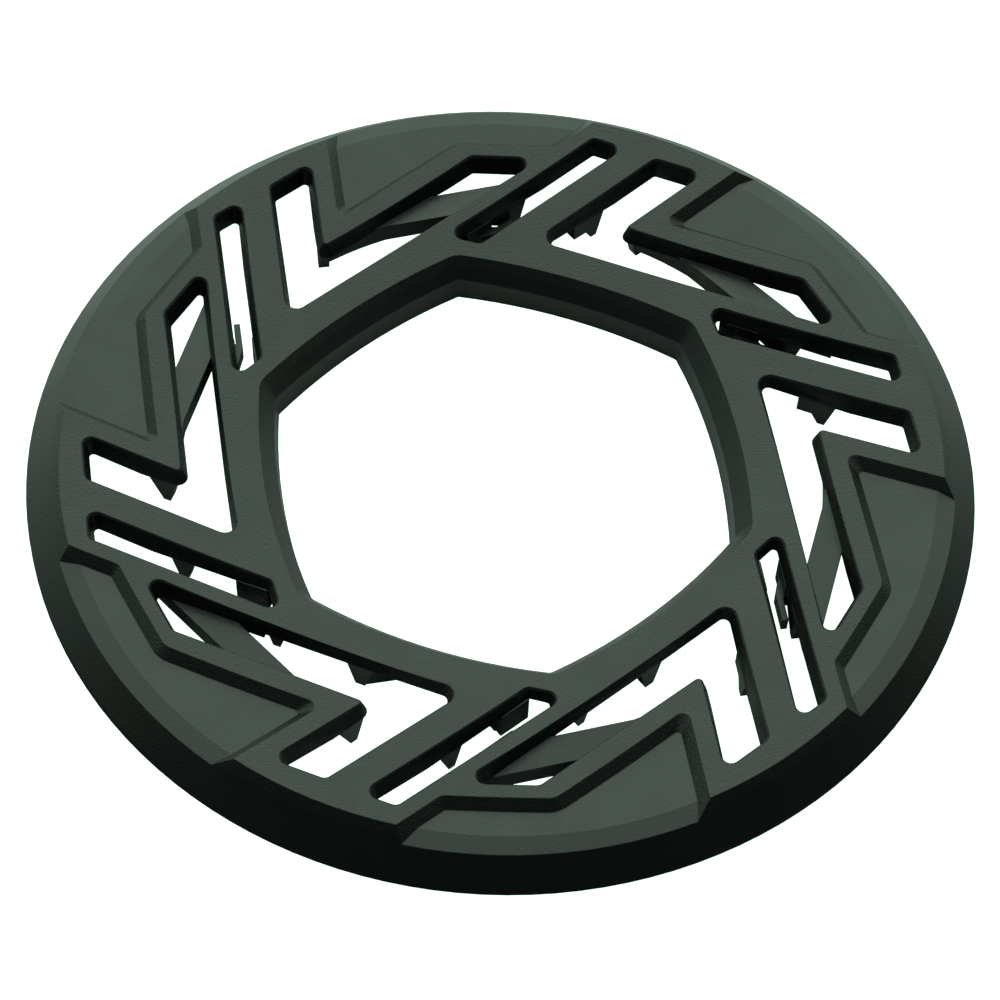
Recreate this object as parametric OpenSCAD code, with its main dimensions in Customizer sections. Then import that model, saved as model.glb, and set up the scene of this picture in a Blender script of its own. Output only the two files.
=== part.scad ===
// Chainring guard: a dished ring moulded in one piece. Six alike sectors carry a
// chevron opening, a straight slot, a sunk panel, a low tie bar, teeth and a snap arm.
// The foot of the inner collar lies on z = 0 and the axis of the ring is z.

/* [Ring] */
// Outside diameter over the rim
outer_d = 164.6; // [156:0.2:176]
// Height from the foot of the collar to the top edge of the bevel
height = 11.6; // [11.2:0.1:12.6]
// Width of the outer bevel, seen from above
bevel_w = 6.2; // [5.4:0.1:6.8]
// Slope of the outer bevel, in degrees
bevel_angle = 46; // [42:1:50]
// Height of the upright edge under the bevel
rim_h = 1.6; // [0.8:0.1:2]
// Wall thickness of the bevelled skirt
skirt_t = 2.2; // [1.6:0.1:2.8]
// Slope of the dished top face, in degrees
dish_angle = 6.1; // [5:0.1:7]
// Thickness of the plate at the centre opening
plate_t = 1.5; // [1.2:0.1:1.8]
// How far the underside stays flat outside the tie bars, before it rises with the dish
under_lap = 1.8; // [1.2:0.1:4]

/* [Centre opening] */
// Distance from the axis to the middle of each bowed side
centre_r = 41.5; // [40:0.1:43]
// Radius of the bow of each side
side_bow_r = 110; // [90:1:160]
// Rounding of the six corners
centre_corner_r = 4; // [3.6:0.1:6]
// Turn of the first corner from the y axis, in degrees
centre_turn = 19.1; // [17:0.1:21]
// Width of the steep band along the opening, seen from above
band_w = 2.6; // [2:0.1:3]
// Depth of that band below the top face
band_h = 3.6; // [3:0.1:4]
// Lean of the collar's inner wall, from the band to the foot
collar_lean = 0.55; // [0.2:0.05:0.9]
// Wall thickness of the collar at its foot
collar_t = 2.2; // [2:0.1:2.6]

/* [Chevron openings] */
// Slope of the long edges, in degrees; the short edges stand 60 degrees steeper
long_angle = 8.8; // [8:0.1:10]
// Width of the ring left between the centre opening and the long arms
inner_land = 5.65; // [5:0.05:6.2]
// Width of the long arm
long_w = 8; // [7:0.1:8.6]
// Outer short edge, as a distance from the axis
short_out = 33.45; // [33:0.05:34]
// Width of the short arm
short_w = 8; // [7:0.1:8.6]
// Land between the end of the short arm and the bevel
short_land = 4.6; // [4:0.1:6]
// Land between the slanted end of the long arm and the bevel
slant_land = 10.1; // [9:0.1:12]
// Slope of the slanted edges, in degrees
slant_angle = -31; // [-33:0.5:-29]
// Rounding of the corners
corner_r = 1.4; // [1.2:0.1:1.6]
// Rounding of the bend and of the slanted end
bend_r = 1.9; // [1.5:0.1:2.2]
// Rounding of the tip of the island between the two arms
tip_r = 0.8; // [0.6:0.1:1.2]

/* [Slots] */
// Width of the beam between the short arm and the slot
beam_w = 5.75; // [5.4:0.05:6]
// Width of the slot
slot_w = 5.1; // [4.6:0.1:5.4]
// Land between the outer end of the slot and the bevel
slot_land = 4.3; // [4:0.1:6]
// Land between the inner end of the slot and the centre opening
slot_inner_land = 3.25; // [2.8:0.05:5]
// Slope of the inner end, in degrees
slot_start_angle = 16.2; // [12:0.1:20]

/* [Walls] */
// Inward lean of the openings' walls from top to underside
wall_lean = 0.95; // [0.5:0.05:1.1]
// Break of the top edges
edge_break = 0.35; // [0.2:0.05:0.5]

/* [Sunk panels] */
// Depth of the panels below the top face
panel_depth = 1.8; // [1.2:0.1:2]
// Land between the panel and the arms of the chevrons
panel_land = 3.5; // [3.1:0.1:4.4]
// Land between the panel and the slanted end of the long arm
panel_slant_land = 2.6; // [2.2:0.1:3.6]
// Rounding of the panel's bend where it passes the end of the long arm
panel_bend_r = 3; // [2:0.1:4]
// Rounding of the panel's other corners
panel_corner_r = 0.8; // [0.5:0.1:1.2]
// How far inside the bevel the floor turns down to the rim
panel_break_w = 1.1; // [0.6:0.1:2]
// How far outside the bevel's top edge the floor ends
panel_lip = 2.2; // [2:0.1:2.6]

/* [Tie bars] */
// Reach of the tie bars' outer edge beyond the long arm
bar_reach = 5.55; // [5:0.05:6]
// Width of the tie bars
bar_w = 5.2; // [4.8:0.1:5.4]
// Depth of the hollow that the curved inner face makes
bar_hollow = 0.6; // [0.4:0.1:0.8]
// Slope of the tie bars, in degrees
bar_angle = -15.9; // [-18:0.1:-14]
// Height of the tie bars below the plate
bar_h = 3.3; // [2.4:0.1:4]
// Distance from the island's edge to the end of the bar beneath it
bar_set_back = 1.3; // [1.2:0.1:2]

/* [Teeth and snap arms] */
// Tips of the teeth above the foot
tooth_foot = 0.6; // [0.2:0.1:1.6]
// Thickness of the teeth
tooth_t = 2; // [1.4:0.1:2.2]
// Width of a tooth's tip
tooth_w = 1.3; // [1:0.1:1.6]
// Run of a tooth's flank for each millimetre of its height
tooth_flank = 0.26; // [0.1:0.02:0.3]
// Place of the stepped tooth along the short arm
stepped_at = 48.4; // [47.5:0.1:49]
// Place of the tooth on the island's side of the short arm
island_at = 52.2; // [51:0.1:54]
// How much further the outer flank of that tooth runs out
island_run = 1; // [0:0.1:1.6]
// Places of the teeth on the near and far side of the slot
slot_near_at = 42.55; // [41.5:0.05:44]
slot_far_at = 38.6; // [38.4:0.1:40]
// Places of the tall and the low tooth along the long arm
long_at = 6.75; // [6.3:0.05:7.3]
low_at = 21.8; // [20:0.1:24]
// Width of the tip of the tall tooth, from which the slanting rib runs inward
long_tip_w = 1.75; // [1.4:0.05:2]
// Start of the snap arm, along the slot
arm_at = 25; // [24.6:0.1:26]
// Length of the snap arm
arm_l = 12.6; // [11.6:0.1:13]
// Length of its root, which hangs from the plate
arm_root_l = 4.5; // [4:0.1:5]
// Thickness of the arm at the root
arm_t = 1.4; // [1.2:0.1:1.6]
// Thickness of the arm at the tip
arm_tip_t = 1.1; // [0.9:0.1:1.3]
// Length of the straight tip
arm_tip_l = 5.6; // [4.8:0.1:6]
// How far the tip stands in from the root
arm_crank = 2.6; // [2:0.1:2.8]
// Height of the snap arm
arm_h = 2.8; // [2:0.1:3.2]

/* [Hidden] */
sectors = 6;
step = 360 / sectors;
mid_angle = 90;
arc_steps = 5;
round_steps = 180;
over = 4;
join = 0.5;
least_r = 0.3;
outer_r = outer_d / 2;
bevel_r = outer_r - bevel_w;
dish = tan(dish_angle);
bevel = tan(bevel_angle);
rim_edge_z = height - bevel_w * bevel;
rim_foot_z = rim_edge_z - rim_h;
short_angle = long_angle + 60;
long_in = centre_r + inner_land;
long_out = long_in + long_w;
short_in = short_out - short_w;
short_end = bevel_r - short_land;
slant_end = bevel_r - slant_land;
slot_in = short_out + beam_w;
slot_out = slot_in + slot_w;
slot_end = bevel_r - slot_land;
slot_start = centre_r + slot_inner_land;
under_z = top_z(centre_r) - plate_t;
bar_out = long_out + bar_reach;
bar_r = bar_out - bar_w + bar_hollow;
under_flat_r = bar_out + under_lap;
tooth_set_back = wall_lean - 0.25;
stop_l = 7.3;
stop_t = 2.3;

// Height of the dished top face at radius r
function top_z(r) = height - (bevel_r - r) * dish;

// Unit vector at angle a
function dir(a) = [cos(a), sin(a)];

// Point where two edges meet, each moved inward by t; an edge is [normal angle, distance]
function meet(e, f, t) =
    let (d = e[1] - t, g = f[1] - t, s = sin(f[0] - e[0]))
    [(d * sin(f[0]) - g * sin(e[0])) / s, (g * cos(e[0]) - d * cos(f[0])) / s];

// Turn from angle a to angle b, between -180 and 180
function turn(a, b) = let (d = b - a) d - 360 * round(d / 360);

// Rounding left at a corner after the outline has moved inward by t
function left_r(r, t) = r > 0 ? max(r - t, least_r) : r - t;

// Outline of a list of edges [normal angle, distance, corner radius], moved inward by t;
// the radius rounds the corner to the next edge and is negative at an inner corner
function outline(edges, t) =
    [for (i = [0:len(edges) - 1])
        let (e = edges[i], f = edges[(i + 1) % len(edges)], r = left_r(e[2], t),
             c = meet(e, f, t + r), w = turn(e[0], f[0]))
        for (k = [0:arc_steps]) c + r * dir(e[0] + w * k / arc_steps)];

// Ring of points at the fixed height z
function flat_ring(pts, z) = [for (p = pts) [p[0], p[1], z]];

// Ring of points that follows the dished face, dz above it
function dished_ring(pts, dz) = [for (p = pts) [p[0], p[1], top_z(norm(p)) + dz]];

// Solid through rings of equal length, listed from the lowest up
module loft(rings) {
    n = len(rings[0]);
    m = len(rings);
    sides = [for (j = [0:m - 2], i = [0:n - 1])
        let (a = j * n + i, b = j * n + (i + 1) % n)
        each [[a, a + n, b + n], [a, b + n, b]]];
    foot = [for (i = [0:n - 1]) i];
    head = [for (i = [n - 1:-1:0]) (m - 1) * n + i];
    polyhedron([for (r = rings) each r], concat([foot, head], sides));
}

// Cutter for an opening through the plate, with leaning walls and a broken top edge;
// the walls lean on by a quarter more where the cutter passes below the plate
module opening(edges) {
    lean_on = wall_lean * 5 / 4;
    loft([
        flat_ring(outline(edges, lean_on), under_z - 2 * join),
        dished_ring(outline(edges, 0), -edge_break),
        dished_ring(outline(edges, -2 * edge_break), edge_break),
        flat_ring(outline(edges, -2 * edge_break), height + over)]);
}

module chevron_cut() {
    opening([
        [long_angle - 90, -long_in, corner_r],
        [slant_angle + 90, slant_end, bend_r],
        [long_angle + 90, long_out, -tip_r],
        [short_angle - 90, -short_in, corner_r],
        [long_angle + 90, short_end, corner_r],
        [short_angle + 90, short_out, bend_r]]);
}

module slot_cut() {
    opening([
        [short_angle - 90, -slot_in, corner_r],
        [long_angle + 90, slot_end, corner_r],
        [short_angle + 90, slot_out, corner_r],
        [slot_start_angle - 90, -slot_start, corner_r]]);
}

// Cutter for a sunk panel: its walls slope at 45 degrees down to the floor, and its
// two outer edges lie beyond the rim
module panel_cut() {
    far = outer_r + over;
    deep = panel_depth + 2 * join;
    high = 2 * join;
    edges = [
        [long_angle - 90, -long_out - panel_land, -panel_bend_r],
        [slant_angle - 90, -slant_end - panel_slant_land, 2 * panel_corner_r],
        [long_angle - 90, -long_in, panel_corner_r],
        [mid_angle - step, far, panel_corner_r],
        [mid_angle, far, panel_corner_r],
        [short_angle + 90, short_in - panel_land, panel_corner_r]];
    loft([
        flat_ring(outline(edges, deep), under_z - high),
        dished_ring(outline(edges, deep), -deep),
        dished_ring(outline(edges, -high), high),
        flat_ring(outline(edges, -high), height + over)]);
}

// Everything above the floor of the panels: the floor follows the dish, turns down
// near the bevel and runs out through it
module above_floor() {
    start_r = long_in;
    break_r = bevel_r - panel_break_w;
    far = outer_r + 2 * over;
    rotate_extrude($fn = round_steps)
        polygon([
            [start_r, top_z(start_r) - panel_depth],
            [break_r, top_z(break_r) - panel_depth],
            [bevel_r + panel_lip, height - panel_lip],
            [far, height - panel_lip - 2 * join],
            [far, height + over], [start_r, height + over]]);
}

// Hexagon with bowed sides and rounded corners, moved inward by t
function centre_outline(t) =
    [for (j = [0:sectors - 1])
        let (mid = mid_angle - centre_turn + (j + 0.5) * step, c = side_bow_r - centre_r,
             k = centre_corner_r, half = asin(c * sin(step / 2) / (side_bow_r - k)),
             bow = step / 2 - half, hub = (side_bow_r - k) * dir(mid + bow) - c * dir(mid))
        each concat(
            [for (i = [-6:6]) (side_bow_r - t) * dir(mid + bow * i / 6) - c * dir(mid)],
            [for (i = [1:3]) hub + (k - t) * dir(mid + bow + half * i / 2)])];

module centre_cut() {
    slope = band_w / band_h;
    loft([
        flat_ring(centre_outline(band_w + collar_lean * 5 / 4), -2 * join),
        dished_ring(centre_outline(band_w), -band_h),
        dished_ring(centre_outline(-slope), 1),
        flat_ring(centre_outline(-slope), height + over)]);
}

// Plate and bevelled skirt; the skirt's inner face is parallel to the bevel
module ring() {
    in_r = centre_r - 2 * over;
    skirt_r = bevel_r - skirt_t / sin(bevel_angle);
    rise_r = (skirt_r + (height - under_z + under_flat_r * dish) / bevel) / (1 + dish / bevel);
    rotate_extrude($fn = round_steps)
        polygon([
            [in_r, under_z], [under_flat_r, under_z],
            [rise_r, under_z + (rise_r - under_flat_r) * dish],
            [skirt_r + (height - rim_foot_z) / bevel, rim_foot_z],
            [outer_r, rim_foot_z], [outer_r, rim_edge_z],
            [bevel_r, height], [in_r, top_z(in_r)]]);
}

// Collar under the plate: its outer face runs parallel to the inner one
module collar() {
    slope = band_w / band_h;
    bend_z = top_z(centre_r) - band_h;
    top = under_z + join;
    loft([
        flat_ring(centre_outline(band_w + collar_lean - collar_t), 0),
        flat_ring(centre_outline(band_w - collar_t), bend_z),
        flat_ring(centre_outline(band_w - collar_t - (top - bend_z) * slope), top)]);
}

// Tie bar: starts under the tip of the island between the arms of the chevron,
// crosses the long arm and ends under the beam; under the island its inner face
// follows an arc, further on it is straight
module tie_bar() {
    arc_start = mid_angle + step / 10;
    arc_end = bar_angle + 90 + acos((bar_out - bar_w) / bar_r);
    arc = [for (i = [0:arc_steps]) bar_r * dir(arc_end + (arc_start - arc_end) * i / arc_steps)];
    outer = [bar_angle + 90, bar_out];
    inner = [bar_angle + 90, bar_out - bar_w];
    side = [short_angle + 90, short_in - bar_set_back];
    beam = [long_angle - 90, 3 * join - long_in];
    translate([0, 0, under_z - bar_h])
        linear_extrude(bar_h + join)
            polygon(concat(
                [meet(beam, inner, 0)],
                [for (p = arc) if (p * dir(side[0]) < side[1]) p],
                [meet(side, [arc_start, bar_r], 0), meet(outer, side, 0),
                 meet(outer, beam, 0)]));
}

// Side view of a tooth that hangs down to height z, at a place along its edge; w is
// half the width of its tip and more is what its outer flank runs out further
function tooth_side(at, z, w = tooth_w / 2, more = 0) =
    let (run = w + tooth_flank * (under_z - z))
    [[-at - run - more, under_z], [-at - w, z], [-at + w, z], [-at + run, under_z]];

// The tall tooth with a step beside it, held up half way
function stepped_side() =
    let (p = tooth_side(stepped_at, tooth_foot), z = tooth_foot + bar_h * 2 / 3,
         far = tooth_w / 2 - stepped_at + bar_h * 5 / 4)
    [p[0], p[1], p[2], [p[2][0] + tooth_w, z], [far, z], [far, under_z]];

// Tooth under an opening's edge: a is the edge's normal angle and d the distance of
// the tooth's near face from the axis; the side view is carried up into the plate
module tooth(a, d, side) {
    top = under_z + join;
    rotate(a) translate([d, 0, 0]) rotate([90, 0, 90])
        linear_extrude(tooth_t)
            polygon(concat(side, [[side[len(side) - 1][0], top], [side[0][0], top]]));
}

// Teeth that hang under the edges of the openings, set back from the walls' lower edges
module teeth() {
    short = short_angle + 90;
    long = long_angle + 90;
    low_z = (tooth_foot + under_z) / 2;
    inward = tooth_set_back - tooth_t;
    tooth(short, short_out - tooth_set_back, stepped_side());
    tooth(short, short_in + inward, tooth_side(island_at, tooth_foot, more = island_run));
    tooth(short, slot_in + inward, tooth_side(slot_near_at, tooth_foot));
    tooth(short, slot_out - tooth_set_back, tooth_side(slot_far_at, tooth_foot));
    tooth(long, long_in + inward, tooth_side(long_at, tooth_foot, w = long_tip_w / 2));
    tooth(long, long_in + inward, tooth_side(low_at, low_z));
}

// Rib that runs from the tall tooth of the long arm slantwise in to the collar
module slant_rib() {
    foot = tooth_foot + join / 5;
    front = long_in + tooth_set_back - join / 3;
    near = -long_at - long_tip_w / 2 + join / 5;
    far = -long_at + long_tip_w / 2 - join / 5;
    inner = long_in - band_w;
    rotate(long_angle + 90) translate([0, 0, foot])
        linear_extrude(under_z + join - foot)
            polygon([
                [front, near], [front, far], [inner + join / 2, -tooth_w],
                [inner - tooth_w, -tooth_w * 7 / 4], [front - tooth_w, near]]);
}

// Snap arm beside the inner end of the slot, with its root under the beam;
// along the slot is x and out from the axis is y
module snap_arm() {
    foot = tooth_foot + arm_h * 2 / 7;
    root_y = slot_out + join * 3 / 5;
    tip_y = root_y - arm_crank;
    end = arm_at + arm_l;
    bend = end - arm_tip_l;
    root = [
        [arm_at + arm_root_l, root_y + arm_t], [arm_at, root_y + arm_t], [arm_at, root_y]];
    rotate(short_angle) translate([0, 0, foot]) {
        linear_extrude(arm_h)
            polygon(concat(root, [
                [bend, tip_y], [end, tip_y], [end, tip_y + arm_tip_t],
                [bend + arm_t, tip_y + arm_tip_t]]));
        linear_extrude(under_z + join - foot)
            polygon(concat(root, [[arm_at + arm_root_l, root_y - join / 2]]));
    }
}

// Stop rib across the slot from the snap arm
module stop_rib() {
    rotate(short_angle)
        translate([arm_at + join, slot_in - stop_t - join * 3 / 5, tooth_foot])
            cube([stop_l, stop_t, under_z + join - tooth_foot]);
}

module guard() {
    color([0.09, 0.1, 0.095])
    union() {
        difference() {
            union() {
                ring();
                collar();
            }
            centre_cut();
            for (k = [0:sectors - 1]) rotate(step * k) {
                chevron_cut();
                slot_cut();
            }
            intersection() {
                above_floor();
                for (k = [0:sectors - 1]) rotate(step * k) panel_cut();
            }
        }
        for (k = [0:sectors - 1]) rotate(step * k) {
            tie_bar();
            teeth();
            slant_rib();
            snap_arm();
            stop_rib();
        }
    }
}

guard();
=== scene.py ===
"""Looks of the chainring guard: grained black plastic on a white sweep, seen from above and in front."""
import math

import bmesh
import bpy
from mathutils import Euler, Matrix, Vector


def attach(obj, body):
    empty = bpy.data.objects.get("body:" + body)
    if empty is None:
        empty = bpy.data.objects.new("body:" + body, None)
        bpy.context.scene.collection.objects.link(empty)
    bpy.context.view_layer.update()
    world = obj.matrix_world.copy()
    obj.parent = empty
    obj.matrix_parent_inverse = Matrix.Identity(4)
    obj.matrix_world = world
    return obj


MM = 0.001

# Camera, as fitted to the photograph
IMAGE_PX = 1000
FOCAL_PX = 2811.05
SENSOR_MM = 36.0
CAM_PLACE = Vector((131.0565, -250.2786, 405.0925)) * MM
CAM_TURN = Euler([math.radians(a) for a in (34.4745, -1.5932, 29.9728)])

# The dished top face, and the depths below it between which the grain turns to satin: the floors
# of the sunk panels lie deeper
HEIGHT = 11.6 * MM
BEVEL_RADIUS = 76.1 * MM
DISH_SLOPE = math.tan(math.radians(6.1))
PANEL_RANGE = (1.35 * MM, 1.7 * MM)

# Blocks and a flank under the edges of each slot, in mm. The side views run along the slot and up,
# from the tips of the teeth to just inside the plate. The pairs place the two faces of each piece,
# measured from the line through the axis of the ring that runs along the slot
SECTORS = 6
SLOT_TURN = math.radians(68.8)
BLOCK_SIDE = ((26.7, 0.6), (32.6, 0.6), (32.6, 6.5), (26.7, 6.5))
INNER_BLOCK = (38.5, 40.3)
OUTER_BLOCK = (43.4, 45.4)
FLANK_SIDE = ((30.4, 6.5), (32.8, 4.4), (35.2, 2.5), (37.9, 0.6), (38.3, 0.6), (38.3, 6.5))
FLANK = (43.62, 45.5)
BLOCK_EDGE = 0.15 * MM
BLOCK_EDGE_STEPS = 2

# Plastic: fine grain, which is lower on the satin floors of the panels, and faint clouds of gloss.
# The finer share is what each finer layer of a noise adds to it
PLASTIC = (0.006, 0.0072, 0.0066, 1)
PLASTIC_IOR = 1.5
GRAIN_ROUGHNESS = 0.4
SATIN_ROUGHNESS = 0.36
GRAIN_SPACING = 0.40 * MM
GRAIN_FINER_SHARE = 0.6
GRAIN_HEIGHT = 0.11 * MM
SATIN_GRAIN = 0.45
CLOUD_SPACING = 9 * MM
CLOUD_FINER_SHARE = 0.5
CLOUD_RANGE = (0.3, 0.7)
CLOUD_ROUGHNESS = 0.03
NOISE_DETAIL = 2.0
EDGE_RADIUS = 0.22 * MM
EDGE_SAMPLES = 4

# Stage: a sweep that glows white, and a pale pad under the guard that the camera does not see. The pad
# does not glow like the sweep, so the floor under the guard comes out dimmer in its reflections. That is
# painted shade of the floor there, on top of the shade the pad really gets from the lamps
LIGHT_TINT = (0.775, 1.0, 0.85)
SWEEP_SIZE = 6
SWEEP_GREY = 0.3
SWEEP_GLOW = 1.4
PAD_RADIUS = 78 * MM
PAD_DROP = 0.1 * MM
PAD_SHADE_GREY = 0.75
PAD_SIDES = 96

# Light: the side of the room that is bright, the range of directions over which it fades, the glow
# of its dim and its bright side, and one soft box behind the guard
BRIGHT_SIDE = (-0.469, 0.679, 0.565)
ROOM_RANGE = (-0.15, 0.95)
ROOM_GLOW = (0.04, 1.7)
ROOM_FALL = 1.5
BACK_PLACE = (-0.215, 0.405, 0.5)
BACK_AIM = (-0.03, 0.06, 0)
BACK_SIZE = (0.5, 0.34)
BACK_POWER = 0.42


def add_object(name, data):
    """A new object in the scene that shows a mesh, a light or a camera."""
    item = bpy.data.objects.new(name, data)
    bpy.context.collection.objects.link(item)
    return item


def add_node(tree, kind, **inputs):
    """A shader node with its inputs set by name, with spaces written as underscores."""
    node = tree.nodes.new(kind)
    for name, value in inputs.items():
        node.inputs[name.replace("_", " ")].default_value = value
    return node


def math_node(tree, operation, *values):
    """A math node on one or two sockets or numbers; returns its result."""
    node = tree.nodes.new("ShaderNodeMath")
    node.operation = operation
    for slot, value in zip(node.inputs, values):
        if isinstance(value, bpy.types.NodeSocket):
            tree.links.new(value, slot)
        else:
            slot.default_value = value
    return node.outputs[0]


def map_range(tree, value, source, target):
    """A value taken linearly from one range to another, and held at both ends."""
    node = add_node(tree, "ShaderNodeMapRange",
                    From_Min=source[0], From_Max=source[1], To_Min=target[0], To_Max=target[1])
    tree.links.new(value, node.inputs["Value"])
    return node.outputs["Result"]


def noise(tree, place, spacing, finer_share):
    """A noise of one spacing over the part; returns its value."""
    node = add_node(tree, "ShaderNodeTexNoise",
                    Scale=1 / spacing, Detail=NOISE_DETAIL, Roughness=finer_share)
    tree.links.new(place, node.inputs["Vector"])
    return node.outputs["Fac"]


def depth_below_dish(tree, place):
    """Depth of a point below the dished top face, from its place in the part."""
    split = tree.nodes.new("ShaderNodeSeparateXYZ")
    tree.links.new(place, split.inputs["Vector"])
    x, y, z = split.outputs
    square = math_node(tree, "ADD", math_node(tree, "MULTIPLY", x, x), math_node(tree, "MULTIPLY", y, y))
    radius = math_node(tree, "SQRT", square)
    drop = math_node(tree, "MULTIPLY", math_node(tree, "SUBTRACT", BEVEL_RADIUS, radius), DISH_SLOPE)
    top = math_node(tree, "SUBTRACT", HEIGHT, drop)
    return math_node(tree, "SUBTRACT", top, z)


def moulded_plastic(name):
    """Black moulded plastic: fine grain, and smoother satin on the floors of the sunk panels."""
    material = bpy.data.materials.new(name)
    material.use_nodes = True
    tree = material.node_tree
    shader = tree.nodes["Principled BSDF"]
    shader.inputs["Base Color"].default_value = PLASTIC
    shader.inputs["IOR"].default_value = PLASTIC_IOR
    place = tree.nodes.new("ShaderNodeTexCoord").outputs["Object"]
    satin = map_range(tree, depth_below_dish(tree, place), PANEL_RANGE, (0, 1))

    clouds = map_range(tree, noise(tree, place, CLOUD_SPACING, CLOUD_FINER_SHARE),
                       CLOUD_RANGE, (-CLOUD_ROUGHNESS, CLOUD_ROUGHNESS))
    finish = map_range(tree, satin, (0, 1), (GRAIN_ROUGHNESS, SATIN_ROUGHNESS))
    tree.links.new(math_node(tree, "ADD", finish, clouds), shader.inputs["Roughness"])

    edge = add_node(tree, "ShaderNodeBevel", Radius=EDGE_RADIUS)
    edge.samples = EDGE_SAMPLES
    bump = add_node(tree, "ShaderNodeBump", Distance=GRAIN_HEIGHT)
    tree.links.new(map_range(tree, satin, (0, 1), (1, SATIN_GRAIN)), bump.inputs["Strength"])
    grain = noise(tree, place, GRAIN_SPACING, GRAIN_FINER_SHARE)
    tree.links.new(grain, bump.inputs["Height"])
    tree.links.new(edge.outputs["Normal"], bump.inputs["Normal"])
    tree.links.new(bump.outputs["Normal"], shader.inputs["Normal"])
    return material


def matt(name, grey, glow):
    """A matt stage material with one grey, and a glow in the tint of the light."""
    material = bpy.data.materials.new(name)
    material.use_nodes = True
    shader = material.node_tree.nodes["Principled BSDF"]
    shader.inputs["Base Color"].default_value = (grey, grey, grey, 1)
    shader.inputs["Roughness"].default_value = 1.0
    shader.inputs["Specular IOR Level"].default_value = 0.0
    shader.inputs["Emission Color"].default_value = (*LIGHT_TINT, 1)
    shader.inputs["Emission Strength"].default_value = glow
    return material


def studio_world():
    """A soft room that is bright behind the guard and overhead, and dim on the side of the camera."""
    world = bpy.data.worlds.new("studio")
    world.use_nodes = True
    tree = world.node_tree
    background = tree.nodes["Background"]
    background.inputs["Color"].default_value = (*LIGHT_TINT, 1)
    towards = tree.nodes.new("ShaderNodeVectorMath")
    towards.operation = "DOT_PRODUCT"
    towards.inputs[1].default_value = BRIGHT_SIDE
    tree.links.new(tree.nodes.new("ShaderNodeTexCoord").outputs["Generated"], towards.inputs[0])
    share = map_range(tree, towards.outputs["Value"], ROOM_RANGE, (0, 1))
    glow = map_range(tree, math_node(tree, "POWER", share, ROOM_FALL), (0, 1), ROOM_GLOW)
    tree.links.new(glow, background.inputs["Strength"])
    bpy.context.scene.world = world


def soft_box(name, place, aim, size, power):
    """A rectangular soft box at a place, turned towards a point."""
    light = bpy.data.lights.new(name, "AREA")
    light.shape = "RECTANGLE"
    light.size, light.size_y = size
    light.energy = power
    light.color = LIGHT_TINT
    lamp = add_object(name, light)
    lamp.location = place
    lamp.rotation_euler = (Vector(aim) - Vector(place)).to_track_quat("-Z", "Y").to_euler()


def add_prism(mesh, turn, side, faces_at):
    """Adds a prism beside the slot at a turn, from its side view and the places of its two faces."""
    along = Vector((math.cos(turn), math.sin(turn), 0))
    across = Vector((-along.y, along.x, 0))
    up = Vector((0, 0, 1))
    near, far = [[mesh.verts.new((along * x + across * y + up * z) * MM) for x, z in side]
                 for y in faces_at]
    mesh.faces.new(near)
    mesh.faces.new(far)
    for i in range(len(side)):
        mesh.faces.new((near[i - 1], near[i], far[i], far[i - 1]))


def slot_blocks(name, material):
    """The blocks and the sloping tooth flank that close the inner end of each slot from below."""
    mesh = bmesh.new()
    for sector in range(SECTORS):
        turn = SLOT_TURN + math.tau * sector / SECTORS
        add_prism(mesh, turn, BLOCK_SIDE, INNER_BLOCK)
        add_prism(mesh, turn, BLOCK_SIDE, OUTER_BLOCK)
        add_prism(mesh, turn, FLANK_SIDE, FLANK)
    bmesh.ops.recalc_face_normals(mesh, faces=mesh.faces)
    data = bpy.data.meshes.new(name)
    mesh.to_mesh(data)
    mesh.free()
    data.materials.append(material)
    piece = add_object(name, data)
    bevel = piece.modifiers.new("edges", "BEVEL")
    bevel.width = BLOCK_EDGE
    bevel.segments = BLOCK_EDGE_STEPS
    return piece


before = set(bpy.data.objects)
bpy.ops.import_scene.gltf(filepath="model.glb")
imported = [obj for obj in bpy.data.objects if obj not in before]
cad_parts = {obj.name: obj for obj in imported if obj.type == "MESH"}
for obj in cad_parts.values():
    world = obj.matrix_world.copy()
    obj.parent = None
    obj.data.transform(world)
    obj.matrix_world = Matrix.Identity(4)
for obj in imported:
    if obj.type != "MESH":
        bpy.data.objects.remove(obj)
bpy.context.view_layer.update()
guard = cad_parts["guard"]

# Looks of the guard, and the blocks below its slots
plastic = moulded_plastic("moulded plastic")
guard.data.materials.clear()
guard.data.materials.append(plastic)
blocks = slot_blocks("slot_blocks", plastic)
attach(blocks, "root")

# White sweep, which only the camera sees, and the pale pad that the guard lies on and reflects, which
# the camera does not see: a dimmer floor put under the guard for its reflections, painted shade of the
# floor there
bpy.ops.mesh.primitive_plane_add(size=SWEEP_SIZE, location=(0, 0, 0))
floor = bpy.context.object
floor.name = "floor"
floor.data.materials.append(matt("white sweep", SWEEP_GREY, SWEEP_GLOW))
floor.visible_glossy = floor.visible_diffuse = False
bpy.ops.mesh.primitive_circle_add(vertices=PAD_SIDES, radius=PAD_RADIUS, fill_type="NGON",
                                  location=(0, 0, -PAD_DROP))
shade_pad = bpy.context.object
shade_pad.name = "shade_pad"
# Grey of the pad: painted shade of the floor under the guard, as the guard's reflections see it
shade_pad.data.materials.append(matt("shade_pad", PAD_SHADE_GREY, 0))
shade_pad.visible_camera = False

# Light
studio_world()
soft_box("back", BACK_PLACE, BACK_AIM, BACK_SIZE, BACK_POWER)
bpy.context.scene.view_settings.view_transform = "Standard"

# Camera
camera = bpy.data.cameras.new("camera")
camera.sensor_width = SENSOR_MM
camera.lens = FOCAL_PX / IMAGE_PX * SENSOR_MM
camera_object = add_object("camera", camera)
camera_object.location = CAM_PLACE
camera_object.rotation_euler = CAM_TURN
bpy.context.scene.camera = camera_object
